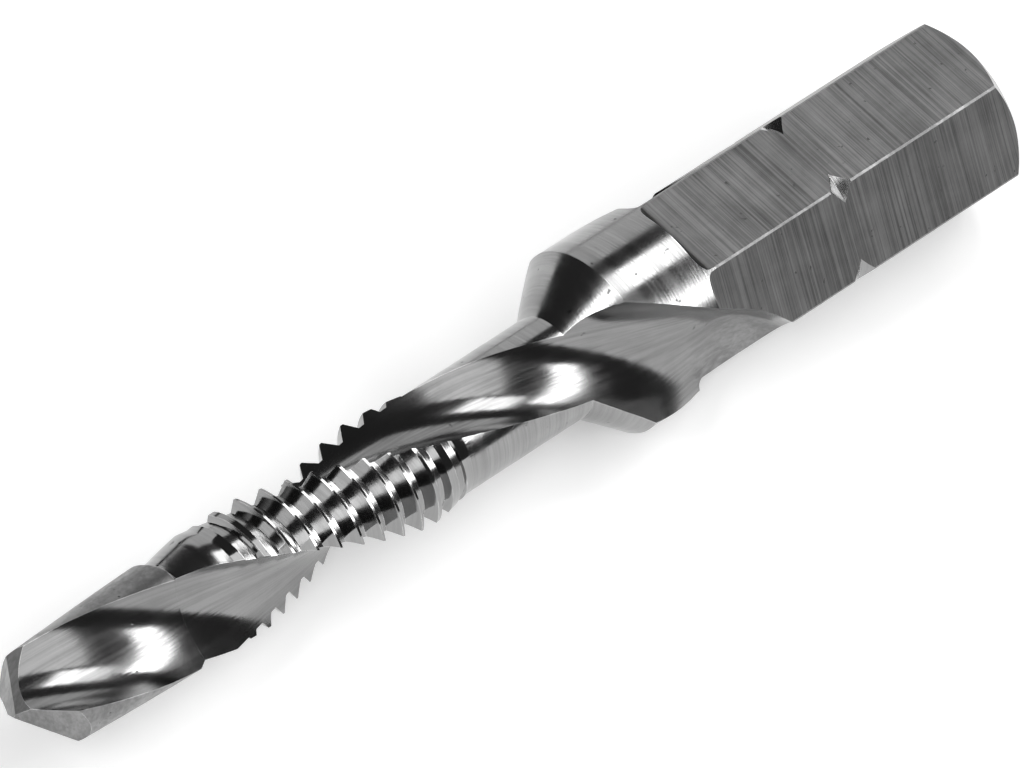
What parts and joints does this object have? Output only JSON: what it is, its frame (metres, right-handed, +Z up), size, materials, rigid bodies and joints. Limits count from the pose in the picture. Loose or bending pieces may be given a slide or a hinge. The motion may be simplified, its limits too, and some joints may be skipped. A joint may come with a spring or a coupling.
{
  "type": "hex shank drill tap",
  "caption": "Combined drill, tap and countersink bit: hexagonal quick-change shank, round collar with a countersink cone, neck, threaded section and drill point, all fluted.",
  "frame": {"origin": "middle of the tool's length, below its axis, at the lowest line of the collar", "axes": "+X along the tool's axis towards the rear end of the hexagonal shank, the drill point at -X; +Z up, one flat of the hexagon facing down"},
  "size_m": [0.0442, 0.0072, 0.0073],
  "materials": {
    "steel": "ground"
  },
  "bodies": {
    "root": {"drill_tap": "steel"}
  },
  "joints": []
}
